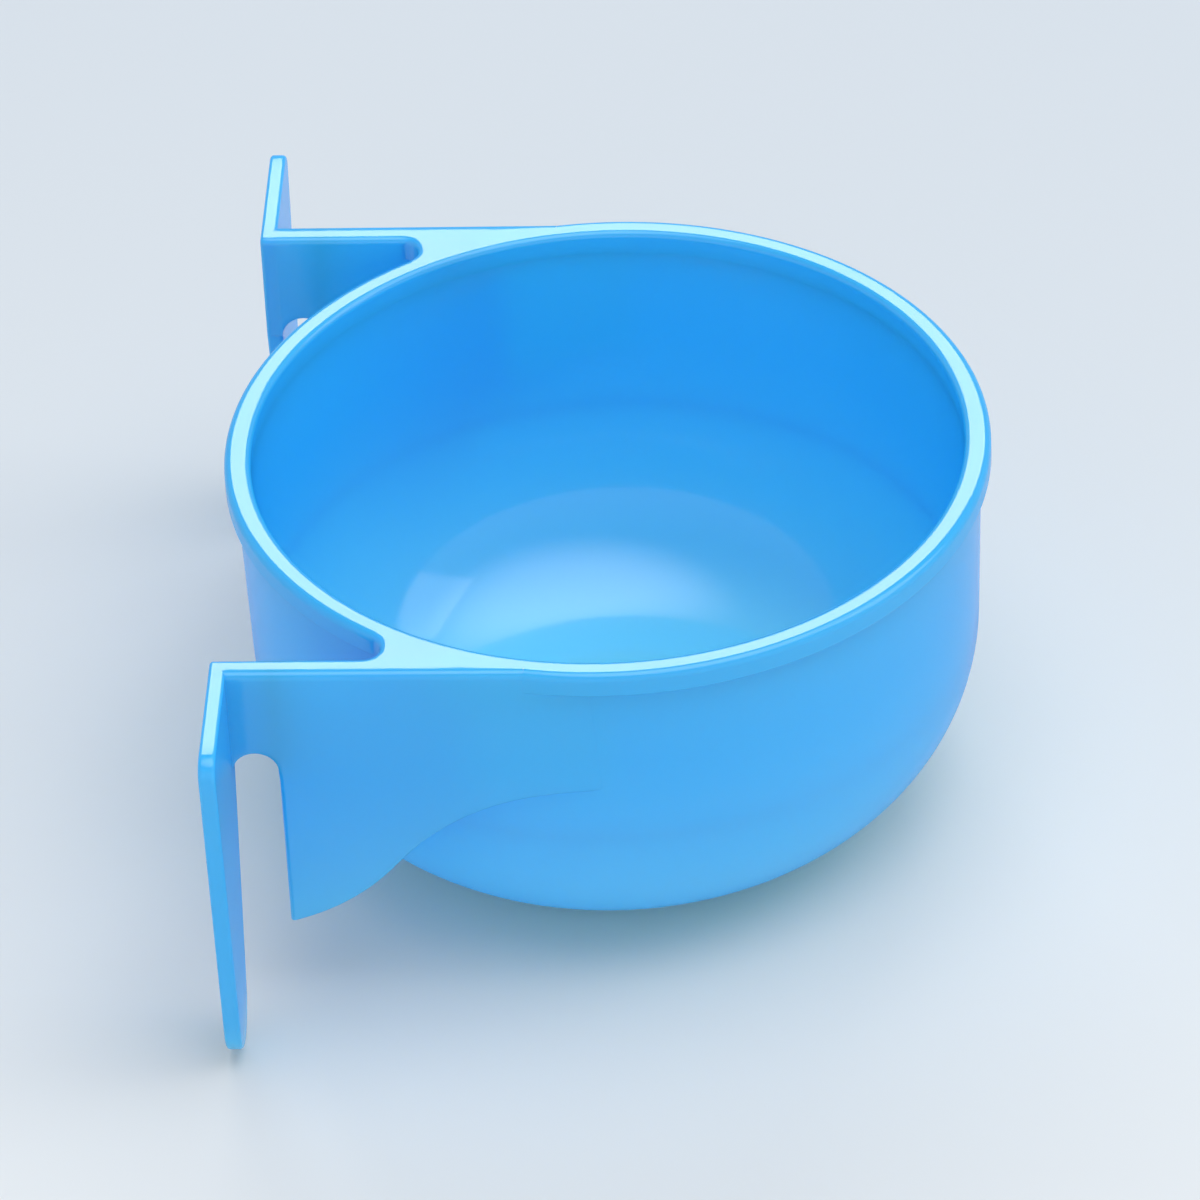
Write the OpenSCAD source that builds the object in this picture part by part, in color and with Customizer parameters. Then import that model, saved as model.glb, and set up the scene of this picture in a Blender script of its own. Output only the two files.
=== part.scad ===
// Hook-on seed cup: a round moulded bowl with two side wings that carry hooks.
// Millimetres, +Z up. The origin is the centre of the base's underside.
// +X points away from the panel that the hooks grip, and the hooks are at the -X side.
// Left is the -Y side and right is the +Y side.

/* [Bowl] */
// Diameter over the rim
rim_d = 92; // [76:1:120]
// Height from the base to the top of the rim
cup_h = 49.5; // [44:0.5:70]
// Thickness of the bowl's wall and floor
wall = 2; // [1.2:0.1:2.6]
// Outside radius of the round between the wall and the base
heel_r = 24.5; // [12:0.5:28]
// Slope of the wall from upright, in degrees
draft = 1.6; // [1.4:0.1:3]

/* [Rim] */
// Width of the rim bead across its top
rim_w = 3.2; // [2.8:0.1:5]
// Height of the rim bead on the outside
rim_h = 3; // [2.2:0.1:6]
// Radius of the bead's outer top edge
rim_outer_round = 1; // [0.3:0.05:1.2]
// Radius of the bead's inner top edge
rim_inner_round = 0.85; // [0.3:0.05:1.2]

/* [Wings] */
// Distance from the rim's widest point in to a wing's outer face
wing_inset = 0.7; // [0.3:0.1:2]
// Inward lean of the wings from upright, in degrees
wing_lean = 1; // [0:0.1:1.2]
// Thickness of a wing
wing_t = 3.3; // [2.4:0.1:4.5]
// Depth of a wing at its bowl end
nose_depth = 18.4; // [10:0.2:24]
// Depth at which a wing's lower edge would level out at its hook end
back_depth = 38.8; // [30:0.2:42]
// Distance from the bowl's axis back to where the wing's lower edge starts to drop
nose_back = 2.5; // [0:0.1:6]
// Slope of the straight part of the wing's lower edge, in degrees
ramp_slope = 49; // [38:1:58]
// Share of the lower edge's fall that is in its hollow curve
hollow_share = 0.46; // [0.3:0.01:0.5]
// Share of the lower edge's fall that is in its round lobe
lobe_share = 0.43; // [0.3:0.01:0.48]
// Radius of the round that leads a wing's outer face into the bowl
fade_r = 60; // [45:5:120]
// Distance from the bowl's axis back to where that round starts
fade_back = 8; // [5:0.5:12]

/* [Webs] */
// Thickness of the web that joins a wing's top to the rim
web_t = 3; // [2:0.1:5]
// Corner radius of the opening between the rim, the web and the wing
web_corner_r = 2.2; // [1:0.1:3]

/* [Hooks] */
// Distance from the rim's rearmost point forward to the back face of the hooks
hook_inset = 1.3; // [0:0.1:3]
// Thickness of a hook
hook_t = 2; // [1.4:0.1:3]
// Width of the slot between a hook and its wing
slot_w = 5.4; // [4.2:0.1:6.2]
// Depth of the bridge that joins a hook to its wing
bridge_h = 12; // [8:0.5:20]
// Distance that a hook reaches sideways past its wing's outer face
hook_reach = 17; // [12:0.5:26]
// Height of the hooks' lower tips above the base
tip_clear = 1.2; // [0.6:0.1:8]
// Radius of a hook's rounded tip
tip_r = 5; // [3:0.1:6]
// Distance from the wing's outer face to the outermost point of the tip
tip_reach = 13.2; // [11:0.1:20]
// Radius of a hook's outer top corner
hook_corner_r = 2.5; // [1:0.1:5]

/* [Hidden] */
$fn = 128;
plastic = "deepskyblue";

// Bowl and rim, as radii and heights in the half section
rim_r = rim_d / 2;
bore_r = rim_r - rim_w;
bead_z = cup_h - rim_h;
shell_r = bore_r + wall / cos(draft);
heel_x = shell_r - (bead_z - heel_r) * tan(draft) - heel_r / cos(draft);
heel_inner_r = heel_r - wall;
// Where the heel's arc runs into the sloping wall, from the heel's centre
heel_end = [heel_r * cos(draft), -heel_r * sin(draft)];
slope_z = heel_r + heel_end[1];

// Share of a round's radius at which the straight edges beside it are drawn, so that each
// straight edge runs into the round instead of only touching it
ease = 0.9995;

// Wings
wing_y = rim_r - wing_inset;
wing_top = cup_h;
wing_in_y = wing_y - wing_t;
hook_back = rim_r - hook_inset;
hook_front = hook_back - hook_t;
wing_back = hook_front - slot_w;
wing_nose = fade_back;
edge_fall = back_depth - nose_depth;
hollow_r = edge_fall * hollow_share / (1 - cos(ramp_slope));
lobe_r = edge_fall * lobe_share / (1 - cos(ramp_slope));
ramp_run = edge_fall * (1 - hollow_share - lobe_share) / tan(ramp_slope);
lobe_back = nose_back + (hollow_r + lobe_r) * sin(ramp_slope) + ramp_run;
hollow_c = [-nose_back, -nose_depth - hollow_r * ease];
lobe_c = [-lobe_back, -back_depth + lobe_r];
ramp_side = [-sin(ramp_slope), cos(ramp_slope)];

// Webs
corner_y = wing_in_y - web_corner_r;
corner_x = -sqrt(pow(rim_r + web_corner_r, 2) - corner_y * corner_y);
corner_c = [corner_x, corner_y];
corner_touch = corner_c * rim_r / (rim_r + web_corner_r);

// Hooks, in the plane across the cup: sideways distance, then height
hook_out = wing_y + hook_reach;
hook_corner_c = [hook_out - hook_corner_r, wing_top - hook_corner_r];
tip_c = [wing_y + tip_reach - tip_r, tip_clear + tip_r];
neck = [wing_in_y, wing_top - bridge_h - slot_w / 2];

// Length by which a cutting shape runs past what it cuts
over = 1;
blade_t = wing_t + 2 * over;

// The point where the line that touches two circles on one side meets the first of them.
// side is 1 for the left side of the way from a to b, and -1 for the right side.
function touch(a, ra, b, rb, side) =
    let (run = norm(b - a),
         along = (b - a) / run,
         across = side * [-along[1], along[0]],
         lean = (ra - rb) / run)
    a + ra * (along * lean + across * sqrt(1 - lean * lean));

// The part of a full circle that the heel keeps, from the flat base to the sloping wall
module heel_sector() {
    intersection() {
        circle(heel_r);
        polygon([[0, 0], heel_end, [heel_end[0], -heel_r], [0, -heel_r]]);
    }
}

// The bowl and the bead as one solid body, for trimming what meets them
module bowl_envelope() {
    cylinder(r = heel_x, h = heel_r);
    rotate_extrude() translate([heel_x, heel_r]) heel_sector();
    translate([0, 0, slope_z])
        cylinder(r1 = heel_x + heel_end[0], r2 = shell_r, h = bead_z - slope_z);
    translate([0, 0, bead_z]) cylinder(r = rim_r, h = rim_h + over);
}

module bowl_floor() {
    color(plastic) cylinder(r = heel_x, h = wall);
}

// The quarter round between the floor and the wall
module bowl_heel() {
    color(plastic) rotate_extrude() translate([heel_x, heel_r]) difference() {
        heel_sector();
        circle(heel_inner_r);
    }
}

module bowl_wall() {
    color(plastic) rotate_extrude() polygon([
        [heel_x + heel_inner_r * cos(draft), heel_r - heel_inner_r * sin(draft)],
        [heel_x + heel_end[0], slope_z],
        [shell_r, bead_z],
        [bore_r, bead_z]]);
}

module rim_bead() {
    color(plastic) rotate_extrude() translate([bore_r, bead_z])
        rounded_top([rim_w, rim_h], rim_inner_round, rim_outer_round);
}

// A rectangle whose two top corners are round: the near corner first, then the far one
module rounded_top(size, near_r, far_r) {
    square([size[0], size[1] - max(near_r, far_r)]);
    translate([near_r, 0]) square([size[0] - near_r - far_r, size[1]]);
    square([near_r, size[1] - near_r]);
    translate([size[0] - far_r, 0]) square([far_r, size[1] - far_r]);
    translate([near_r, size[1] - near_r]) circle(near_r);
    translate([size[0] - far_r, size[1] - far_r]) circle(far_r);
}

// Takes a shape from a wing's own frame to the right-hand side of the cup.
// In that frame the outer face is at y = 0, the top edge is at z = 0 and x is the cup's x.
module on_right_wing() {
    translate([0, wing_y, wing_top]) rotate([-wing_lean, 0, 0]) children();
}

// The wing's cross section along its whole length, with the top edges rounded
module wing_bar(x_from, x_to, depth) {
    translate([x_from, 0, 0]) rotate([90, 0, 90])
        linear_extrude(height = x_to - x_from)
        translate([-wing_t, -depth]) rounded_top([wing_t, depth], rim_inner_round, rim_outer_round);
}

// A slab of the wing's side view, with the double curve of its lower edge
module wing_blade() {
    translate([0, over, 0]) rotate([90, 0, 0]) difference() {
        union() {
            linear_extrude(height = blade_t) polygon([
                [-lobe_back, over],
                [wing_nose + over, over],
                [wing_nose + over, -nose_depth],
                [-nose_back, -nose_depth],
                hollow_c + ramp_side * hollow_r * ease,
                lobe_c - ramp_side * lobe_r * ease,
                lobe_c]);
            translate(lobe_c) cylinder(r = lobe_r, h = blade_t);
        }
        translate([hollow_c[0], hollow_c[1], -over]) cylinder(r = hollow_r, h = blade_t + 2 * over);
    }
}

// What the round that leads the wing's outer face into the bowl takes away
module wing_fade() {
    translate([0, 0, -back_depth - over]) difference() {
        translate([-fade_back, -wing_t - over, 0])
            cube([fade_back + wing_nose + over, blade_t, back_depth + 2 * over]);
        translate([-fade_back, -fade_r, -over]) cylinder(r = fade_r, h = back_depth + 4 * over);
    }
}

module wing_blank() {
    on_right_wing() difference() {
        intersection() {
            wing_bar(-wing_back, wing_nose, back_depth);
            wing_blade();
        }
        wing_fade();
    }
}

module right_wing_solid() {
    difference() {
        wing_blank();
        bowl_envelope();
    }
}

// The flat gusset between the rim and the wing, in front of the open corner
module right_web_solid() {
    difference() {
        translate([0, 0, wing_top - web_t]) linear_extrude(height = web_t) difference() {
            polygon([corner_c, [corner_x, wing_y], [-fade_back, wing_y], corner_touch]);
            circle(rim_r);
            translate(corner_c) circle(web_corner_r);
        }
        bowl_envelope();
        on_right_wing() translate([-wing_back, -wing_t, -back_depth])
            cube([wing_back, wing_t + over, back_depth + over]);
    }
}

// The strip that joins the hook to the wing over the round end of the slot
module right_bridge_solid() {
    on_right_wing() difference() {
        wing_bar(-hook_front, -wing_back, bridge_h + slot_w / 2);
        translate([-wing_back - slot_w / 2, over, -bridge_h - slot_w / 2]) rotate([90, 0, 0])
            cylinder(d = slot_w, h = blade_t);
    }
}

// The flat hook, which hangs down behind the panel beside its wing
module right_hook_solid() {
    translate([-hook_back, 0, 0]) rotate([90, 0, 90]) {
        linear_extrude(height = hook_t) polygon([
            [wing_in_y, wing_top],
            [hook_out - hook_corner_r, wing_top],
            touch(hook_corner_c, hook_corner_r * ease, tip_c, tip_r * ease, 1),
            touch(tip_c, tip_r * ease, hook_corner_c, hook_corner_r * ease, -1),
            touch(tip_c, tip_r * ease, neck, 0, 1),
            neck]);
        translate(hook_corner_c) cylinder(r = hook_corner_r, h = hook_t);
        translate(tip_c) cylinder(r = tip_r, h = hook_t);
    }
}

module right_wing() { color(plastic) right_wing_solid(); }
module left_wing() { color(plastic) mirror([0, 1, 0]) right_wing_solid(); }
module right_web() { color(plastic) right_web_solid(); }
module left_web() { color(plastic) mirror([0, 1, 0]) right_web_solid(); }
module right_hook_bridge() { color(plastic) right_bridge_solid(); }
module left_hook_bridge() { color(plastic) mirror([0, 1, 0]) right_bridge_solid(); }
module right_hook_tongue() { color(plastic) right_hook_solid(); }
module left_hook_tongue() { color(plastic) mirror([0, 1, 0]) right_hook_solid(); }

bowl_floor();
bowl_heel();
bowl_wall();
rim_bead();
left_wing();
right_wing();
left_web();
right_web();
left_hook_bridge();
right_hook_bridge();
left_hook_tongue();
right_hook_tongue();
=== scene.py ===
"""A hook-on seed cup in glossy, slightly translucent blue plastic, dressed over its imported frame."""
import math

import bmesh
import bpy
from mathutils import Matrix, Vector


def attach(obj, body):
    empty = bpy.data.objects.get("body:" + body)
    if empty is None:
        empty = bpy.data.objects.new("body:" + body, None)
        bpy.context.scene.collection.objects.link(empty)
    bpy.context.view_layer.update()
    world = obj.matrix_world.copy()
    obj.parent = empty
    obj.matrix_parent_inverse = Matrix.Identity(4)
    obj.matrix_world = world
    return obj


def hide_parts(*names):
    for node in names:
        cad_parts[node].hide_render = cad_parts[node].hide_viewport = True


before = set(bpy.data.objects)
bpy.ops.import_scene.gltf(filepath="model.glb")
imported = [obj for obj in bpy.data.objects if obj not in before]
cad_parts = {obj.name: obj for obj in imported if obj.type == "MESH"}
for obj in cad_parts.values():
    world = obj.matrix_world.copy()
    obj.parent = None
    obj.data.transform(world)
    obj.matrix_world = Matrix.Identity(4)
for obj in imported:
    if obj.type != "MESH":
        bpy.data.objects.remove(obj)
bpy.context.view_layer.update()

# The part's sizes are in millimetres, as the solids have them, and the studio's are in metres
MM = 0.001

# Bowl and rim
RIM_R = 46.0
CUP_H = 49.5
WALL = 2.0
HEEL_R = 24.5
DRAFT = math.radians(1.6)
RIM_W = 3.2
RIM_H = 3.0
RIM_OUTER_ROUND = 1.0
RIM_INNER_ROUND = 0.85
RIM_FOOT_ROUND = 0.3
BORE_R = RIM_R - RIM_W
BEAD_Z = CUP_H - RIM_H
SHELL_R = BORE_R + WALL / math.cos(DRAFT)
HEEL_X = SHELL_R - (BEAD_Z - HEEL_R) * math.tan(DRAFT) - HEEL_R / math.cos(DRAFT)
FLAT_R = RIM_R - RIM_OUTER_ROUND

# Wings
WING_Y = 45.3
WING_T = 3.3
WING_TOP = CUP_H
WING_IN_Y = WING_Y - WING_T
LEAN = math.radians(1.0)
NOSE_DEPTH = 18.4
BACK_DEPTH = 38.8
NOSE_BACK = 2.5
RAMP = math.radians(49.0)
HOLLOW_SHARE = 0.46
LOBE_SHARE = 0.43
FADE_R = 60.0
FADE_BACK = 8.0
WING_NOSE = 1.5
WING_FOOT_ROUND = 0.6
WING_BACK_ROUND = 0.6

# Webs, and the open corner beside them
WEB_T = 3.0
CORNER_R = 2.2
WEB_ROOT_R = 44.1
GAP_ROUND = 0.8
CORNER_Y = WING_IN_Y - CORNER_R
CORNER_X = -math.sqrt((RIM_R + CORNER_R) ** 2 - CORNER_Y ** 2)

# Hooks
HOOK_BACK = 44.7
HOOK_T = 2.0
SLOT_W = 5.4
BRIDGE_H = 12.0
HOOK_REACH = 17.0
TIP_CLEAR = 1.2
TIP_R = 5.0
TIP_REACH = 13.2
HOOK_CORNER_R = 2.5
HOOK_EDGE_R = 0.45
HOOK_SINK = 0.01
HOOK_FRONT = HOOK_BACK - HOOK_T
WING_BACK = HOOK_FRONT - SLOT_W

# How finely the forms are divided: steps along a run, places on a side, rays across a web
TURN_STEPS = 288
FLOOR_STEPS = 6
HEEL_STEPS = 48
WALL_STEPS = 24
RIM_SIDE_STEPS = 3
RIM_ROUND_STEPS = 12
RIM_FOOT_STEPS = 5
ROUND_STEPS = 8
TOP_PLACES = 4
SIDE_PLACES = 20
FOOT_PLACES = 5
BACK_PLACES = 7
SLOT_PLACES = 25
WING_STEP = 0.4
RAYS = 24
TIP_RAYS = 5
WEB_PLACES = 6
HOOK_ROOT_PLACES = 10
HOOK_TOP_PLACES = 12
HOOK_SIDE_PLACES = 20
HOOK_CORNER_PLACES = 12
HOOK_TIP_PLACES = 26
HOOK_EDGE_PLACES = 6

# Corners of a mesh that lie closer than this are one
MERGE_GAP = 0.002
SHORT_EDGE = 0.001

# Edges that bend more sharply than this stay crisp
SHARP_ANGLE = math.radians(38)
NORMAL_WEIGHT = 60

# Length of wall, and of round, over which the shading passes from one to the other
HEEL_EASE = 7.0

# How far the webs and wings dip, at most, under the rim's flat top
TOP_DIP = 1.5

# Height over which the round on a wing's back edge fades out below the slot's strip
BACK_FADE = 1.0


def smooth(t):
    """0 to 1 along an even s-curve."""
    t = min(max(t, 0.0), 1.0)
    return t * t * (3 - 2 * t)


def spread(a, b, count):
    """Evenly spaced numbers from a to b, both included."""
    return [a + (b - a) * i / (count - 1) for i in range(count)]


def arc(centre, radius, start, end, steps, side=1):
    """Profile points with their normals along a round. side is -1 on a hollow round."""
    out = []
    for i in range(steps + 1):
        t = start + (end - start) * i / steps
        c, s = math.cos(t), math.sin(t)
        out.append(((centre[0] + radius * c, centre[1] + radius * s), (side * c, side * s)))
    return out


def line(a, b, steps=1):
    """Profile points with their normals along a straight run, with the solid on its left."""
    dx, dz = b[0] - a[0], b[1] - a[1]
    size = math.hypot(dx, dz)
    normal = (dz / size, -dx / size)
    return [((a[0] + dx * i / steps, a[1] + dz * i / steps), normal) for i in range(steps + 1)]


def add_piece(name, mesh, node, material):
    """Puts a finished mesh in the scene in place of its solid."""
    piece = bpy.data.objects.new(name, mesh)
    bpy.context.scene.collection.objects.link(piece)
    mesh.materials.append(material)
    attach(piece, "root")
    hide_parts(node)
    return piece


def turned(name, runs):
    """A mesh turned round Z from a closed profile. Each run is smooth, and runs meet at crisp edges."""
    points, faces, normals = [], [], []
    profile = []
    for run in runs:
        for (r, z), n in run[:-1]:
            profile.append((r, z))
    rings = []
    for r, z in profile:
        if r == 0:
            rings.append([len(points)] * TURN_STEPS)
            points.append((0.0, 0.0, z * MM))
            continue
        rings.append(list(range(len(points), len(points) + TURN_STEPS)))
        for k in range(TURN_STEPS):
            a = 2 * math.pi * k / TURN_STEPS
            points.append((r * math.cos(a) * MM, r * math.sin(a) * MM, z * MM))
    spot = 0
    for run in runs:
        for i in range(len(run) - 1):
            low, high = rings[spot], rings[(spot + 1) % len(rings)]
            n0, n1 = run[i][1], run[i + 1][1]
            spot += 1
            for k in range(TURN_STEPS):
                m = (k + 1) % TURN_STEPS
                corners = [(low[k], k, n0), (low[m], m, n0), (high[m], m, n1), (high[k], k, n1)]
                kept = []
                for c in corners:
                    if c[0] not in [q[0] for q in kept]:
                        kept.append(c)
                if len(kept) < 3:
                    continue
                faces.append([c[0] for c in kept])
                for _, step, n in kept:
                    a = 2 * math.pi * step / TURN_STEPS
                    normals.append((n[0] * math.cos(a), n[0] * math.sin(a), n[1]))
    mesh = bpy.data.meshes.new(name)
    mesh.from_pydata(points, [], faces)
    mesh.polygons.foreach_set("use_smooth", [True] * len(faces))
    mesh.normals_split_custom_set(normals)
    mesh.update()
    return mesh


def slope_r(z, inset=0.0):
    """Radius of the bowl's sloping wall at a height, less an inset into the wall."""
    return SHELL_R - (BEAD_Z - z) * math.tan(DRAFT) - inset


def eased(run, joint, radius, side):
    """Turns a run's normals so that the shading leads gently from the wall into the heel's round.
    joint is where the round begins. side is -1 inside the bowl."""
    out = []
    for (r, z), _ in run:
        along = -math.hypot(r - joint[0], z - joint[1])
        if z < joint[1]:
            along = radius * (-DRAFT - math.atan2(z - HEEL_R, r - HEEL_X))
        turn = max(along + HEEL_EASE, 0.0) ** 2 / (4 * HEEL_EASE * radius)
        if along >= HEEL_EASE:
            turn = along / radius
        t = -DRAFT - turn
        out.append(((r, z), (side * math.cos(t), side * math.sin(t))))
    return out


def edge_round(d, radius):
    """How far an edge round has dropped at a distance d inside the edge."""
    if d >= radius:
        return 0.0
    reach = radius - max(d, 0.0)
    return radius - math.sqrt(max(radius * radius - reach * reach, 0.0))


def from_opening(x, y):
    """Distance of a point on the top from the open corner between the rim and the wing."""
    r = math.hypot(x, y)
    far_r = RIM_R + CORNER_R
    if r < far_r and far_r * y / r <= CORNER_Y:
        away = far_r - r
    elif x <= CORNER_X:
        away = y - CORNER_Y
    else:
        away = math.hypot(x - CORNER_X, y - CORNER_Y)
    return away - CORNER_R


def top_level(x, y):
    """Height of the wings' and webs' flat top, which dips under the rim's own flat top."""
    return WING_TOP - min(max(FLAT_R - math.hypot(x, y), 0.0), TOP_DIP)


def wing_depth(x):
    """Depth of the wing's lower edge at x, measured down from its top."""
    fall = BACK_DEPTH - NOSE_DEPTH
    hollow_r = fall * HOLLOW_SHARE / (1 - math.cos(RAMP))
    lobe_r = fall * LOBE_SHARE / (1 - math.cos(RAMP))
    ramp_run = fall * (1 - HOLLOW_SHARE - LOBE_SHARE) / math.tan(RAMP)
    run = -x - NOSE_BACK
    if run <= 0:
        return NOSE_DEPTH
    if run <= hollow_r * math.sin(RAMP):
        return NOSE_DEPTH + hollow_r - math.sqrt(hollow_r ** 2 - run ** 2)
    run -= hollow_r * math.sin(RAMP)
    depth = NOSE_DEPTH + fall * HOLLOW_SHARE
    if run <= ramp_run:
        return depth + run * math.tan(RAMP)
    left = lobe_r * math.sin(RAMP) + ramp_run - run
    return BACK_DEPTH - lobe_r + math.sqrt(lobe_r ** 2 - left ** 2)


def bridge_depth(x):
    """Depth of the strip over the slot, whose lower side is the slot's round end."""
    across = x + WING_BACK + SLOT_W / 2
    half = SLOT_W / 2
    return BRIDGE_H + half - math.sqrt(max(half * half - across * across, 0.0))


def fade(x):
    """How far the wing's outer face has curved in towards the bowl at x."""
    if x <= -FADE_BACK:
        return 0.0
    return FADE_R - math.sqrt(FADE_R ** 2 - (x + FADE_BACK) ** 2)


def back_inset(x, z):
    """Rounding of the wing's back edge, below the strip over the slot."""
    d = x + WING_BACK
    low = smooth((WING_TOP - BRIDGE_H - SLOT_W / 2 - z) / BACK_FADE)
    return edge_round(d, WING_BACK_ROUND) * low


def flat_places(x, end):
    """Places across a wing's flat top at x, with one of them on the edge of the rim's flat top."""
    rim_y = math.sqrt(FLAT_R ** 2 - x * x)
    reach = GAP_ROUND
    if rim_y > WING_IN_Y - SHORT_EDGE:
        reach = min(max(rim_y - WING_IN_Y, 0.0), GAP_ROUND)
    start = WING_IN_Y + reach
    rim_y = min(max(rim_y, start), end)
    inner_ys = [WING_IN_Y + reach * (1 - math.cos(t)) for t in spread(0, math.pi / 2, ROUND_STEPS + 1)]
    return inner_ys + spread(start, rim_y, TOP_PLACES)[1:] + spread(rim_y, end, TOP_PLACES)[1:]


def wing_section(x, depth, is_wing):
    """One closed section across a wing at x, as (y, z) points. The right wing has positive y."""
    outer = WING_Y - (fade(x) if is_wing else 0.0)
    out = []
    for y in flat_places(x, outer - RIM_OUTER_ROUND):
        out.append([y, top_level(x, y) - edge_round(from_opening(x, y), GAP_ROUND)])
    level = top_level(x, outer - RIM_OUTER_ROUND)
    for t in spread(math.pi / 2, 0, ROUND_STEPS + 1)[1:]:
        out.append([outer - RIM_OUTER_ROUND + RIM_OUTER_ROUND * math.cos(t),
                    level - RIM_OUTER_ROUND + RIM_OUTER_ROUND * math.sin(t)])
    foot = WING_TOP - depth
    side_zs = spread(level - RIM_OUTER_ROUND, foot + WING_FOOT_ROUND, SIDE_PLACES)[1:]
    for z in side_zs:
        out.append([outer, z])
    for t in spread(0, math.pi / 2, FOOT_PLACES)[1:]:
        out.append([outer - WING_FOOT_ROUND + WING_FOOT_ROUND * math.cos(t),
                    foot + WING_FOOT_ROUND - WING_FOOT_ROUND * math.sin(t)])
    for t in spread(math.pi / 2, 0, FOOT_PLACES):
        out.append([WING_IN_Y + WING_FOOT_ROUND - WING_FOOT_ROUND * math.cos(t),
                    foot + WING_FOOT_ROUND - WING_FOOT_ROUND * math.sin(t)])
    for z in reversed(side_zs[:-1]):
        out.append([WING_IN_Y, z])
    in_hook = x < -HOOK_FRONT - HOOK_SINK
    for p in out:
        drop = WING_TOP - p[1]
        p[0] -= max(drop, 0.0) * math.tan(LEAN)
        if in_hook:
            p[0] = max(p[0], WING_IN_Y + HOOK_SINK)
            p[1] -= HOOK_SINK
        if is_wing:
            inset = back_inset(x, p[1])
            middle = outer - WING_T / 2
            p[0] += -inset if p[0] > middle else inset
            root = slope_r(min(p[1], BEAD_Z), WALL / 2)
            if root > abs(x):
                p[0] = max(p[0], math.sqrt(root * root - x * x))
    return out


def stations(marks, step):
    """Places from the first mark to the last, at most a step apart, with one of them on each mark."""
    out = [marks[0]]
    for a, b in zip(marks, marks[1:]):
        out += spread(a, b, math.ceil((b - a) / step) + 1)[1:]
    return out


def lofted(name, places, depth_at, is_wing, side):
    """A closed mesh through one section per place, mirrored to the left where side is -1."""
    rings = [wing_section(x, depth_at(x), is_wing) for x in places]
    count = len(rings[0])
    points = [(x * MM, side * y * MM, z * MM) for x, ring in zip(places, rings) for y, z in ring]
    faces = []
    for i in range(len(rings) - 1):
        for k in range(count):
            m = (k + 1) % count
            faces.append((i * count + k, i * count + m, (i + 1) * count + m, (i + 1) * count + k))
    faces.append(tuple(range(count)))
    faces.append(tuple(range((len(rings) - 1) * count, len(rings) * count)))
    return closed_mesh(name, points, faces)


def closed_mesh(name, points, faces):
    """A mesh from points and faces, turned outwards, smooth except at sharp edges."""
    work = bmesh.new()
    verts = [work.verts.new(p) for p in points]
    for f in faces:
        if len(set(f)) > 2:
            work.faces.new([verts[i] for i in dict.fromkeys(f)])
    bmesh.ops.remove_doubles(work, verts=work.verts, dist=MERGE_GAP * MM)
    bmesh.ops.dissolve_degenerate(work, dist=SHORT_EDGE * MM, edges=work.edges)
    wide = [f for f in work.faces if len(f.verts) > 4]
    bmesh.ops.triangulate(work, faces=wide)
    bmesh.ops.recalc_face_normals(work, faces=work.faces)
    mesh = bpy.data.meshes.new(name)
    work.to_mesh(mesh)
    work.free()
    mesh.polygons.foreach_set("use_smooth", [True] * len(mesh.polygons))
    mesh.set_sharp_from_angle(angle=SHARP_ANGLE)
    mesh.update()
    return mesh


def to_circle(c, s, radius):
    """Distance from the open corner's centre, in the direction (c, s), to a circle round the bowl's axis."""
    toward = CORNER_X * c + CORNER_Y * s
    left = toward ** 2 - (CORNER_X ** 2 + CORNER_Y ** 2 - radius ** 2)
    return -toward - math.sqrt(left) if left > 0 and toward < 0 else math.inf


def web_mesh(name, side):
    """The gusset between the rim and a wing, laid out in rays from the round open corner at its back."""
    tip_x = -math.sqrt(WEB_ROOT_R ** 2 - WING_IN_Y ** 2)
    rim_x = -math.sqrt(FLAT_R ** 2 - WING_IN_Y ** 2)
    start_turn = math.atan2(-CORNER_Y, -CORNER_X)
    tip_turn = math.atan2(CORNER_R, tip_x - CORNER_X)
    rim_turn = math.atan2(CORNER_R, rim_x - CORNER_X)
    turns = spread(start_turn, tip_turn, RAYS) + spread(tip_turn, rim_turn, TIP_RAYS)[1:]
    turns += spread(rim_turn, math.pi / 2, RAYS)[1:]
    grid = []
    for t in turns:
        c, s = math.cos(t), math.sin(t)
        wing_at = CORNER_R / s if s > 0 else math.inf
        end = min(to_circle(c, s, WEB_ROOT_R), wing_at)
        rim_at = min(to_circle(c, s, FLAT_R), end)
        round_end = min(CORNER_R + GAP_ROUND, rim_at)
        steps = [min(CORNER_R + GAP_ROUND * (1 - math.cos(u)), round_end)
                 for u in spread(0, math.pi / 2, ROUND_STEPS + 1)]
        steps += spread(round_end, rim_at, WEB_PLACES)[1:] + spread(rim_at, end, TOP_PLACES)[1:]
        for d in steps:
            x, y = CORNER_X + d * c, CORNER_Y + d * s
            grid.append((x, y, top_level(x, y) - edge_round(d - CORNER_R, GAP_ROUND)))
    points = [(x * MM, side * y * MM, z * MM) for x, y, z in grid]
    base = len(points)
    points += [(x * MM, side * y * MM, (WING_TOP - WEB_T) * MM) for x, y, _ in grid]
    wide = len(steps)
    rows = wide - 1
    faces = []
    for i in range(len(turns) - 1):
        for k in range(rows):
            a, b = i * wide + k, (i + 1) * wide + k
            faces.append((a, b, b + 1, a + 1))
            faces.append((base + a, base + a + 1, base + b + 1, base + b))
        for k in (0, rows):
            a, b = i * wide + k, (i + 1) * wide + k
            faces.append((a, b, base + b, base + a))
    for i in (0, len(turns) - 1):
        for k in range(rows):
            a = i * wide + k
            faces.append((a, a + 1, base + a + 1, base + a))
    return closed_mesh(name, points, faces)


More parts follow.
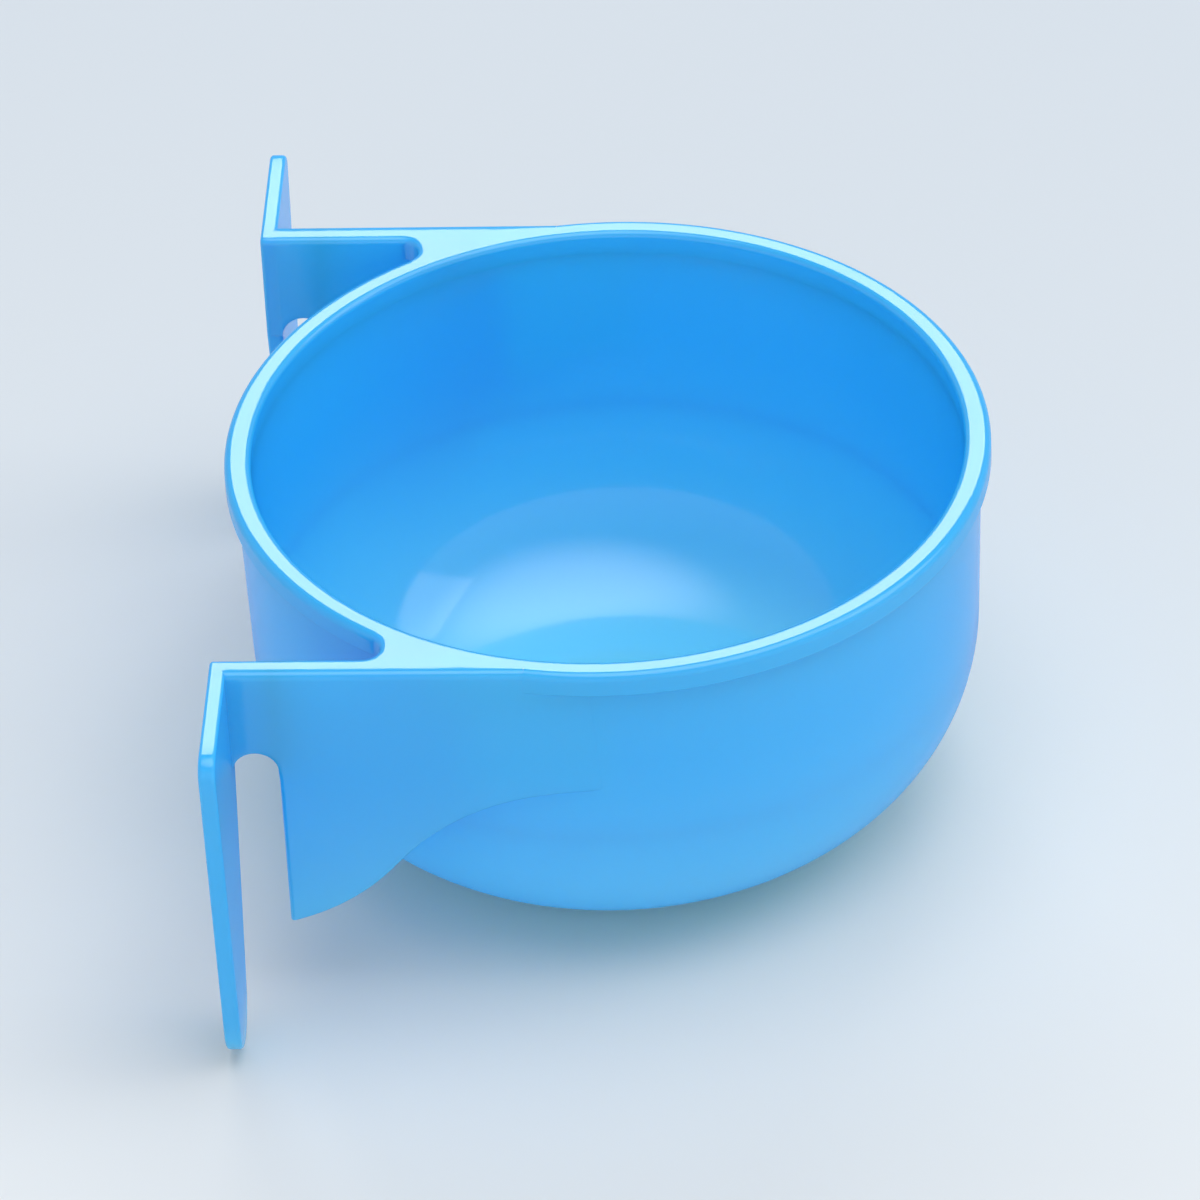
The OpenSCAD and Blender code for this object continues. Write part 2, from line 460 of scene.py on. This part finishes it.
def touch(a, ra, b, rb, side):
    """Where the line that touches two circles on one side meets the first of them."""
    run = math.hypot(b[0] - a[0], b[1] - a[1])
    ux, uy = (b[0] - a[0]) / run, (b[1] - a[1]) / run
    lean = (ra - rb) / run
    up = math.sqrt(1 - lean * lean)
    return (a[0] + ra * (ux * lean - side * uy * up), a[1] + ra * (uy * lean + side * ux * up))


def round_between(centre, start, end, steps):
    """Points on a circle from one point on it to another, turning clockwise."""
    a = math.atan2(start[1] - centre[1], start[0] - centre[0])
    b = math.atan2(end[1] - centre[1], end[0] - centre[0])
    if b > a:
        b -= 2 * math.pi
    r = math.hypot(start[0] - centre[0], start[1] - centre[1])
    return [(centre[0] + r * math.cos(t), centre[1] + r * math.sin(t)) for t in spread(a, b, steps)]


def between(a, b):
    """Points on a straight side of the hook, without its two ends."""
    return [(a[0] + (b[0] - a[0]) * t, a[1] + (b[1] - a[1]) * t)
            for t in spread(0, 1, HOOK_SIDE_PLACES)[1:-1]]


def hook_outline():
    """The hook's outline seen from the front, clockwise, as (y, z) points."""
    out_y = WING_Y + HOOK_REACH
    corner = (out_y - HOOK_CORNER_R, WING_TOP - HOOK_CORNER_R)
    tip = (WING_Y + TIP_REACH - TIP_R, TIP_CLEAR + TIP_R)
    neck = (WING_IN_Y, WING_TOP - BRIDGE_H - SLOT_W / 2)
    inner = (WING_IN_Y + GAP_ROUND, WING_TOP - GAP_ROUND)
    top = (corner[0], WING_TOP)
    outline = [(WING_IN_Y, z) for z in spread(neck[1], inner[1], HOOK_ROOT_PLACES)]
    outline += round_between(inner, (WING_IN_Y, inner[1]), (inner[0], WING_TOP), ROUND_STEPS)[1:]
    outline += [(y, WING_TOP) for y in spread(inner[0], corner[0], HOOK_TOP_PLACES)[1:-1]]
    high = touch(corner, HOOK_CORNER_R, tip, TIP_R, 1)
    outline += round_between(corner, top, high, HOOK_CORNER_PLACES)
    low = touch(tip, TIP_R, corner, HOOK_CORNER_R, -1)
    outline += between(high, low)
    back = touch(tip, TIP_R, neck, 0, 1)
    outline += round_between(tip, low, back, HOOK_TIP_PLACES)
    return outline + between(back, neck)


def hook_mesh(name, side):
    """The flat hook, with softly rounded edges on both faces."""
    outline = hook_outline()
    count = len(outline)
    inward = []
    for i in range(count):
        (x0, y0), (x1, y1), (x2, y2) = outline[i - 1], outline[i], outline[(i + 1) % count]
        n0 = (y1 - y0, x0 - x1)
        n1 = (y2 - y1, x1 - x2)
        s0, s1 = math.hypot(*n0), math.hypot(*n1)
        n = (n0[0] / s0 + n1[0] / s1, n0[1] / s0 + n1[1] / s1)
        size = math.hypot(*n)
        open_up = (n[0] / size) * n0[0] / s0 + (n[1] / size) * n0[1] / s0
        inward.append((n[0] / size / open_up, n[1] / size / open_up))
    levels = []
    for t in spread(0, math.pi / 2, HOOK_EDGE_PLACES):
        levels.append((HOOK_EDGE_R * (1 - math.sin(t)), -HOOK_BACK + HOOK_EDGE_R * (1 - math.cos(t))))
    for t in spread(math.pi / 2, 0, HOOK_EDGE_PLACES):
        levels.append((HOOK_EDGE_R * (1 - math.sin(t)), -HOOK_FRONT - HOOK_EDGE_R * (1 - math.cos(t))))
    points = []
    for inset, x in levels:
        for (y, z), (ny, nz) in zip(outline, inward):
            points.append((x * MM, side * (y + ny * inset) * MM, (z + nz * inset) * MM))
    faces = [tuple(range(count)), tuple(range((len(levels) - 1) * count, len(levels) * count))]
    for i in range(len(levels) - 1):
        for k in range(count):
            m = (k + 1) % count
            faces.append((i * count + k, i * count + m, (i + 1) * count + m, (i + 1) * count + k))
    return closed_mesh(name, points, faces)


def weighted(piece):
    """Lets the large flat faces of a piece set the shading at its edges."""
    modifier = piece.modifiers.new("even_shading", "WEIGHTED_NORMAL")
    modifier.keep_sharp = True
    modifier.weight = NORMAL_WEIGHT


class Nodes:
    """A short way to build a node tree."""

    def __init__(self, tree):
        self.tree = tree
        tree.nodes.clear()

    def add(self, kind, **values):
        node = self.tree.nodes.new(kind)
        for key, value in values.items():
            setattr(node, key, value)
        return node

    def link(self, out, into):
        self.tree.links.new(out, into)

    def calc(self, operation, *values):
        """The output of a maths node, whose inputs are numbers or other outputs."""
        node = self.add("ShaderNodeMath", operation=operation)
        for into, value in zip(node.inputs, values):
            if isinstance(value, (int, float)):
                into.default_value = value
            else:
                self.link(value, into)
        return node.outputs[0]

    def ranged(self, value, start, end, low, high, kind="LINEAR"):
        """An output that goes from low to high while value goes from start to end."""
        node = self.add("ShaderNodeMapRange", interpolation_type=kind)
        for into, number in zip(node.inputs[1:], (start, end, low, high)):
            into.default_value = number
        self.link(value, node.inputs["Value"])
        return node.outputs["Result"]

    def noise(self, place, scale, detail):
        """An even noise of a given fineness."""
        node = self.add("ShaderNodeTexNoise")
        node.inputs["Scale"].default_value = scale
        node.inputs["Detail"].default_value = detail
        self.link(place, node.inputs["Vector"])
        return node.outputs["Fac"]

    def blend(self, factor, first, second):
        """A colour between two colours."""
        node = self.add("ShaderNodeMix", data_type="RGBA")
        node.inputs["A"].default_value = first
        node.inputs["B"].default_value = second
        self.link(factor, node.inputs["Factor"])
        return node.outputs["Result"]

    def all_of(self, *tests):
        """1 where every test holds, and 0 elsewhere."""
        found = tests[0]
        for test in tests[1:]:
            found = self.calc("MULTIPLY", found, test)
        return found

    def sag(self, run, radius):
        """How far a circle has fallen away at a distance along it from its top."""
        left = self.calc("SUBTRACT", radius * radius, self.calc("MULTIPLY", run, run))
        return self.calc("SUBTRACT", radius, self.calc("SQRT", self.calc("MAXIMUM", left, 0.0)))


# The plastic: colours, paler towards the base as painted light, gloss, marks, and the share of light that
# passes through at each height
PAINTED_LIGHT_LOW_COLOR = (0.250, 0.895, 0.990, 1.0)
HIGH_COLOR = (0.060, 0.630, 0.990, 1.0)
HOOK_PAINTED_LIGHT_LOW_COLOR = (0.110, 0.700, 0.990, 1.0)
PAINTED_LIGHT_LOW_COLOR_Z = 4.0
HIGH_COLOR_Z = 38.0
FLOW_SHARE = 0.14
GLOW_COLOR = (0.100, 0.680, 1.000, 1.0)
IOR = 1.6
GLOSS_LEVEL = 0.8
BASE_Z = 1.0
HEEL_Z = 9.0
SIDE_Z = 14.0
TOP_Z = 40.0
BASE_SHARE = 0.18
HEEL_SHARE = 0.50
TOP_SHARE = 0.38
CLOUD_FINENESS = 38.0
CLOUD_DETAIL = 3.0
SMEAR_FINENESS = 95.0
SMEAR_DETAIL = 5.0
SMEAR_RANGE = (0.3, 0.7)
ROUGHNESS_RANGE = (0.07, 0.12)
STREAK_TURN = (0.5, 0.3, 0.8)
STREAK_STRETCH = (1.0, 14.0, 14.0)
STREAK_FINENESS = 130.0
STREAK_DETAIL = 2.0
SCUFF_RANGE = (0.64, 0.74)
SCUFF_ROUGHNESS = 0.06
GRAIN_FINENESS = 260.0
GRAIN_DETAIL = 4.0
GRAIN_STRENGTH = 0.06
GRAIN_HEIGHT = 0.0002
CLEAR_COLOR = (1.0, 1.0, 1.0, 1.0)

# A face counts as covered where it lies at least this far inside its neighbour
JOIN_CLEAR = 0.008


def wall_reach(n, z):
    """Outer radius of the sloping wall at height z."""
    low_z = n.calc("MINIMUM", z, BEAD_Z)
    return n.calc("MULTIPLY_ADD", low_z, math.tan(DRAFT), SHELL_R - BEAD_Z * math.tan(DRAFT))


def top_sag(n, z):
    """How far the round at the top edges has drawn in at height z."""
    run = n.calc("MAXIMUM", n.calc("SUBTRACT", z, CUP_H - RIM_OUTER_ROUND), 0.0)
    return n.sag(run, RIM_OUTER_ROUND)


def under_bowl(n, x, y, z, r):
    """1 on a wing's or web's faces that lie inside the bowl, where the plastic has no surface."""
    up = n.calc("MAXIMUM", n.calc("SUBTRACT", BEAD_Z + RIM_FOOT_ROUND, z), 0.0)
    foot_sag = n.sag(up, RIM_FOOT_ROUND)
    bead = n.calc("SUBTRACT", n.calc("SUBTRACT", RIM_R, top_sag(n, z)), foot_sag)
    is_bead = n.calc("GREATER_THAN", z, BEAD_Z)
    step = n.calc("MULTIPLY", is_bead, n.calc("SUBTRACT", bead, wall_reach(n, z)))
    reach = n.calc("ADD", wall_reach(n, z), step)
    return n.calc("LESS_THAN", n.calc("ADD", r, JOIN_CLEAR), reach)


def under_wing(n, x, y, z, r):
    """1 on the bowl's faces that lie inside a wing, where the plastic has no surface."""
    lean = n.calc("MULTIPLY_ADD", z, -math.tan(LEAN), WING_TOP * math.tan(LEAN))
    faded = n.sag(n.calc("MAXIMUM", n.calc("ADD", x, FADE_BACK), 0.0), FADE_R)
    drawn_in = n.calc("ADD", n.calc("ADD", faded, top_sag(n, z)), lean)
    across = n.calc("ABSOLUTE", y)
    inside = n.calc("LESS_THAN", n.calc("ADD", across, drawn_in), WING_Y - JOIN_CLEAR)
    outside = n.calc("GREATER_THAN", n.calc("ADD", across, lean), WING_IN_Y)
    fall = BACK_DEPTH - NOSE_DEPTH
    hollow_r = fall * HOLLOW_SHARE / (1 - math.cos(RAMP))
    run = n.calc("MAXIMUM", n.calc("SUBTRACT", -NOSE_BACK, x), 0.0)
    above = n.calc("GREATER_THAN", n.calc("ADD", z, n.sag(run, hollow_r)),
                   WING_TOP - NOSE_DEPTH + WING_FOOT_ROUND)
    dip = n.calc("MAXIMUM", n.calc("SUBTRACT", FLAT_R, r), 0.0)
    below = n.calc("LESS_THAN", n.calc("ADD", z, dip), WING_TOP - JOIN_CLEAR)
    outer_half = n.calc("GREATER_THAN", n.calc("ADD", r, WALL / 2), wall_reach(n, z))
    in_front = n.calc("GREATER_THAN", x, -WING_BACK)
    return n.all_of(inside, outside, above, below, outer_half, in_front)


def plastic(name, covered, painted_light_low_color):
    """Glossy blue plastic that lets some light through, with faint flow marks, scuffs and grain.
    covered gives the faces that are inside a neighbour, which pass all the light. The colour
    goes from painted_light_low_color near the base to the colour of the rim."""
    mat = bpy.data.materials.new(name)
    mat.use_nodes = True
    n = Nodes(mat.node_tree)
    out = n.add("ShaderNodeOutputMaterial")
    mix = n.add("ShaderNodeMixShader")
    body = n.add("ShaderNodeBsdfPrincipled")
    glow = n.add("ShaderNodeBsdfTranslucent")
    spot = n.add("ShaderNodeTexCoord").outputs["Object"]
    size = n.add("ShaderNodeVectorMath", operation="SCALE")
    size.inputs["Scale"].default_value = 1 / MM
    n.link(spot, size.inputs[0])
    place = n.add("ShaderNodeSeparateXYZ")
    n.link(size.outputs["Vector"], place.inputs["Vector"])
    x, y, z = place.outputs["X"], place.outputs["Y"], place.outputs["Z"]
    r = n.calc("SQRT", n.calc("ADD", n.calc("MULTIPLY", x, x), n.calc("MULTIPLY", y, y)))
    joined = covered(n, x, y, z, r)

    # Colour, with painted light that pales it towards the base where the lower bowl catches more light,
    # deeper towards the rim, with flow marks
    rise = n.ranged(z, PAINTED_LIGHT_LOW_COLOR_Z, HIGH_COLOR_Z, 0.0, 1.0, "SMOOTHSTEP")
    cloud = n.noise(spot, CLOUD_FINENESS, CLOUD_DETAIL)
    flow = n.calc("MULTIPLY_ADD", cloud, FLOW_SHARE, -FLOW_SHARE / 2)
    n.link(n.blend(n.calc("ADD", rise, flow), painted_light_low_color, HIGH_COLOR), body.inputs["Base Color"])

    # Gloss, uneven and with fine scuffs
    smear = n.noise(spot, SMEAR_FINENESS, SMEAR_DETAIL)
    rough = n.ranged(smear, *SMEAR_RANGE, *ROUGHNESS_RANGE)
    stretch = n.add("ShaderNodeMapping")
    stretch.inputs["Rotation"].default_value = STREAK_TURN
    stretch.inputs["Scale"].default_value = STREAK_STRETCH
    n.link(spot, stretch.inputs["Vector"])
    streak = n.noise(stretch.outputs["Vector"], STREAK_FINENESS, STREAK_DETAIL)
    scuff = n.ranged(streak, *SCUFF_RANGE, 0.0, SCUFF_ROUGHNESS)
    n.link(n.calc("ADD", rough, scuff), body.inputs["Roughness"])
    body.inputs["IOR"].default_value = IOR
    body.inputs["Specular IOR Level"].default_value = GLOSS_LEVEL

    # Grain
    bump = n.add("ShaderNodeBump")
    bump.inputs["Strength"].default_value = GRAIN_STRENGTH
    bump.inputs["Distance"].default_value = GRAIN_HEIGHT
    n.link(n.noise(spot, GRAIN_FINENESS, GRAIN_DETAIL), bump.inputs["Height"])
    n.link(bump.outputs["Normal"], body.inputs["Normal"])

    # Light that passes through: least at the base, most at the heel, and all of it where joined
    low_share = n.ranged(z, BASE_Z, HEEL_Z, BASE_SHARE, HEEL_SHARE, "SMOOTHSTEP")
    lost_share = n.ranged(z, SIDE_Z, TOP_Z, 0.0, HEEL_SHARE - TOP_SHARE, "SMOOTHSTEP")
    share = n.calc("SUBTRACT", low_share, lost_share)
    n.link(n.calc("MAXIMUM", share, joined), mix.inputs["Fac"])
    n.link(n.blend(joined, GLOW_COLOR, CLEAR_COLOR), glow.inputs["Color"])
    n.link(body.outputs["BSDF"], mix.inputs[1])
    n.link(glow.outputs["BSDF"], mix.inputs[2])
    n.link(mix.outputs["Shader"], out.inputs["Surface"])
    return mat


bowl_plastic = plastic("bowl_plastic", under_wing, PAINTED_LIGHT_LOW_COLOR)
side_plastic = plastic("side_plastic", under_bowl, PAINTED_LIGHT_LOW_COLOR)
hook_plastic = plastic("hook_plastic", under_bowl, HOOK_PAINTED_LIGHT_LOW_COLOR)

# The bowl: floor, heel, wall and rim, turned round the axis
heel_c = (HEEL_X, HEEL_R)
inner_r = HEEL_R - WALL
quarter = -math.pi / 2
heel_out = (HEEL_X + HEEL_R * math.cos(DRAFT), HEEL_R - HEEL_R * math.sin(DRAFT))
heel_in = (HEEL_X + inner_r * math.cos(DRAFT), HEEL_R - inner_r * math.sin(DRAFT))

floor_runs = [line((0, 0), (HEEL_X, 0), FLOOR_STEPS),
              line((HEEL_X, 0), (HEEL_X, WALL)),
              line((HEEL_X, WALL), (0, WALL), FLOOR_STEPS),
              line((0, WALL), (0, 0))]
heel_runs = [eased(arc(heel_c, HEEL_R, quarter, -DRAFT, HEEL_STEPS), heel_out, HEEL_R, 1),
             line(heel_out, heel_in),
             eased(arc(heel_c, inner_r, -DRAFT, quarter, HEEL_STEPS, -1), heel_in, inner_r, -1),
             line((HEEL_X, WALL), (HEEL_X, 0))]
wall_runs = [eased(line(heel_out, (SHELL_R, BEAD_Z), WALL_STEPS), heel_out, HEEL_R, 1),
             line((SHELL_R, BEAD_Z), (BORE_R, BEAD_Z)),
             eased(line((BORE_R, BEAD_Z), heel_in, WALL_STEPS), heel_in, inner_r, -1),
             line(heel_in, heel_out)]
foot = RIM_FOOT_ROUND
root_r = SHELL_R - foot * 2
flat_in = BORE_R + RIM_INNER_ROUND
out_z = CUP_H - RIM_OUTER_ROUND
in_z = CUP_H - RIM_INNER_ROUND
rim_runs = [line((root_r, BEAD_Z - foot), (slope_r(BEAD_Z - foot), BEAD_Z - foot)),
            arc((SHELL_R + foot, BEAD_Z - foot), foot, math.pi, math.pi / 2, RIM_FOOT_STEPS - 1, -1),
            line((SHELL_R + foot, BEAD_Z), (RIM_R - foot, BEAD_Z)),
            arc((RIM_R - foot, BEAD_Z + foot), foot, quarter, 0, RIM_FOOT_STEPS),
            line((RIM_R, BEAD_Z + foot), (RIM_R, out_z), RIM_SIDE_STEPS),
            arc((FLAT_R, out_z), RIM_OUTER_ROUND, 0, math.pi / 2, RIM_ROUND_STEPS),
            line((FLAT_R, CUP_H), (flat_in, CUP_H), RIM_SIDE_STEPS),
            arc((flat_in, in_z), RIM_INNER_ROUND, math.pi / 2, math.pi, RIM_ROUND_STEPS),
            line((BORE_R, in_z), (BORE_R, BEAD_Z), RIM_SIDE_STEPS),
            line((BORE_R, BEAD_Z), (root_r, BEAD_Z)),
            line((root_r, BEAD_Z), (root_r, BEAD_Z - foot))]

for name, runs, node in (("floor_of_bowl", floor_runs, "bowl_floor"),
                         ("heel_of_bowl", heel_runs, "bowl_heel"),
                         ("wall_of_bowl", wall_runs, "bowl_wall"),
                         ("rim_of_bowl", rim_runs, "rim_bead")):
    add_piece(name, turned(name, runs), node, bowl_plastic)

# The wings, webs, strips over the slots and hooks, on both sides
back_xs = [-WING_BACK + WING_BACK_ROUND * (1 - math.cos(t))
           for t in spread(0, math.pi / 2, BACK_PLACES)]
rim_marks = [-math.sqrt(FLAT_R ** 2 - y * y)
             for y in (WING_IN_Y, WING_IN_Y + GAP_ROUND, WING_Y - RIM_OUTER_ROUND)]
wing_marks = [back_xs[-1]] + rim_marks[:2] + [-FADE_BACK, rim_marks[2], WING_NOSE]
wing_xs = back_xs + stations(wing_marks, WING_STEP)[1:]
half_slot = SLOT_W / 2
bridge_xs = [-HOOK_BACK + HOOK_EDGE_R]
bridge_xs += [-WING_BACK - half_slot - half_slot * math.cos(t)
              for t in spread(0, math.pi, SLOT_PLACES)]
for side, word in ((-1, "left"), (1, "right")):
    wing = lofted(word + "_wing_plate", wing_xs, wing_depth, True, side)
    web = web_mesh(word + "_web_plate", side)
    bridge = lofted(word + "_bridge_strip", bridge_xs, bridge_depth, False, side)
    hook = hook_mesh(word + "_hook_plate", side)
    for mesh, node, material in ((wing, "_wing", side_plastic),
                                 (web, "_web", side_plastic),
                                 (bridge, "_hook_bridge", side_plastic),
                                 (hook, "_hook_tongue", hook_plastic)):
        weighted(add_piece(mesh.name, mesh, word + node, material))

# Floor, its colour paler in front and darker behind: painted light and shade falling off across the floor
FLOOR_NEAR_PAINTED_LIGHT_COLOR = (0.775, 0.765, 0.690, 1.0)
FLOOR_FAR_PAINTED_SHADE_COLOR = (0.645, 0.665, 0.630, 1.0)
FLOOR_NEAR_Y = -0.10
FLOOR_FAR_Y = 0.20
FLOOR_HALF = 3.0
FLOOR_ROUGHNESS = 0.7
floor_mesh = bpy.data.meshes.new("studio_floor")
floor_mesh.from_pydata([(-FLOOR_HALF, -FLOOR_HALF, 0), (FLOOR_HALF, -FLOOR_HALF, 0),
                        (FLOOR_HALF, FLOOR_HALF, 0), (-FLOOR_HALF, FLOOR_HALF, 0)], [], [(0, 1, 2, 3)])
floor = bpy.data.objects.new("studio_floor", floor_mesh)
bpy.context.scene.collection.objects.link(floor)
floor_mat = bpy.data.materials.new("studio_floor")
floor_mat.use_nodes = True
fn = Nodes(floor_mat.node_tree)
floor_out = fn.add("ShaderNodeOutputMaterial")
floor_body = fn.add("ShaderNodeBsdfPrincipled")
floor_coords = fn.add("ShaderNodeTexCoord")
floor_place = fn.add("ShaderNodeSeparateXYZ")
fn.link(floor_coords.outputs["Object"], floor_place.inputs["Vector"])
# The floor's colour fades from front to back, painted light and shade across the floor
floor_painted_falloff = fn.ranged(floor_place.outputs["Y"], FLOOR_NEAR_Y, FLOOR_FAR_Y, 0.0, 1.0, "SMOOTHSTEP")
fn.link(fn.blend(floor_painted_falloff, FLOOR_NEAR_PAINTED_LIGHT_COLOR, FLOOR_FAR_PAINTED_SHADE_COLOR), floor_body.inputs["Base Color"])
floor_body.inputs["Roughness"].default_value = FLOOR_ROUGHNESS
floor_body.inputs["Specular IOR Level"].default_value = 0.0
fn.link(floor_body.outputs["BSDF"], floor_out.inputs["Surface"])
floor_mesh.materials.append(floor_mat)

# World: a bright horizon, darker higher up, brighter in front, and a broad soft light overhead
LAMP_COLOR = (0.95, 1.0, 1.13)
LOW_SKY = 0.4
LOW_SKY_COLOR = (0.92, 0.97, 1.13, 1.0)
HIGH_SKY = 0.8
HIGH_SKY_COLOR = (0.43, 0.48, 0.59, 1.0)
FRONT_LEVEL = 0.96
BACK_LEVEL = 0.50
TOP_AXIS = (0.174, -0.035, 0.984)
TOP_EDGE = 0.80
TOP_CORE = 0.99
TOP_LEVEL = 2.3
world = bpy.data.worlds.new("studio")
bpy.context.scene.world = world
world.use_nodes = True
wn = Nodes(world.node_tree)
world_out = wn.add("ShaderNodeOutputWorld")
sky = wn.add("ShaderNodeBackground")
where = wn.add("ShaderNodeTexCoord")
split = wn.add("ShaderNodeSeparateXYZ")
ramp = wn.add("ShaderNodeValToRGB")
wn.link(where.outputs["Generated"], split.inputs["Vector"])
wn.link(split.outputs["Z"], ramp.inputs["Fac"])
low_sky, high_sky = ramp.color_ramp.elements
low_sky.position = LOW_SKY
low_sky.color = LOW_SKY_COLOR
high_sky.position = HIGH_SKY
high_sky.color = HIGH_SKY_COLOR
wn.link(wn.ranged(split.outputs["Y"], -1.0, 1.0, FRONT_LEVEL, BACK_LEVEL), sky.inputs["Strength"])
wn.link(ramp.outputs["Color"], sky.inputs["Color"])
soft_top = wn.add("ShaderNodeBackground")
soft_top.inputs["Color"].default_value = LAMP_COLOR + (1.0,)
toward_top = wn.add("ShaderNodeVectorMath", operation="DOT_PRODUCT")
toward_top.inputs[1].default_value = TOP_AXIS
wn.link(where.outputs["Generated"], toward_top.inputs[0])
top_level_out = wn.ranged(toward_top.outputs["Value"], TOP_EDGE, TOP_CORE, 0.0, TOP_LEVEL, "SMOOTHSTEP")
wn.link(top_level_out, soft_top.inputs["Strength"])
both = wn.add("ShaderNodeAddShader")
wn.link(sky.outputs["Background"], both.inputs[0])
wn.link(soft_top.outputs["Background"], both.inputs[1])
wn.link(both.outputs["Shader"], world_out.inputs["Surface"])


def area_lamp(name, spot, aim, size, power):
    """A soft rectangular lamp at spot, turned towards aim."""
    data = bpy.data.lights.new(name, "AREA")
    data.shape = "RECTANGLE"
    data.size, data.size_y = size
    data.energy = power
    data.color = LAMP_COLOR
    lamp = bpy.data.objects.new(name, data)
    lamp.location = spot
    lamp.rotation_euler = (Vector(aim) - Vector(spot)).to_track_quat("-Z", "Y").to_euler()
    bpy.context.scene.collection.objects.link(lamp)


LAMP_AIM = (0.0, 0.0, 0.03)
BACK_SPOT = (0.0, 2.2, 1.7)
BACK_SIZE = (1.8, 0.45)
BACK_POWER = 16.0
SIDE_SPOT = (1.5, 0.2, 1.3)
SIDE_SIZE = (1.0, 1.0)
SIDE_POWER = 5.0
area_lamp("back_softbox", BACK_SPOT, LAMP_AIM, BACK_SIZE, BACK_POWER)
area_lamp("side_softbox", SIDE_SPOT, LAMP_AIM, SIDE_SIZE, SIDE_POWER)

# Camera, at the photo's view
CAMERA_SPOT = (0.0594, -0.8646, 0.6914)
CAMERA_YAW = math.radians(-4.05)
CAMERA_PITCH = math.radians(37.54)
CAMERA_ROLL = math.radians(-2.92)
CAMERA_LENS = 270.0
CAMERA_SENSOR = 36.0
CAMERA_NEAR = 0.01
look = Vector((math.sin(CAMERA_YAW) * math.cos(CAMERA_PITCH),
               math.cos(CAMERA_YAW) * math.cos(CAMERA_PITCH),
               -math.sin(CAMERA_PITCH)))
camera_data = bpy.data.cameras.new("photo_camera")
camera_data.sensor_fit = "HORIZONTAL"
camera_data.sensor_width = CAMERA_SENSOR
camera_data.lens = CAMERA_LENS
camera_data.clip_start = CAMERA_NEAR
camera = bpy.data.objects.new("photo_camera", camera_data)
camera.matrix_world = (Matrix.Translation(CAMERA_SPOT)
                       @ look.to_track_quat("-Z", "Y").to_matrix().to_4x4()
                       @ Matrix.Rotation(CAMERA_ROLL, 4, "Z"))
bpy.context.scene.collection.objects.link(camera)
bpy.context.scene.camera = camera
bpy.context.scene.view_settings.view_transform = "Standard"

# The light passes from wall to wall of the bowl many times before it is gone
LIGHT_BOUNCES = 12
paths = bpy.context.scene.cycles
paths.max_bounces = LIGHT_BOUNCES
paths.diffuse_bounces = LIGHT_BOUNCES
paths.transmission_bounces = LIGHT_BOUNCES
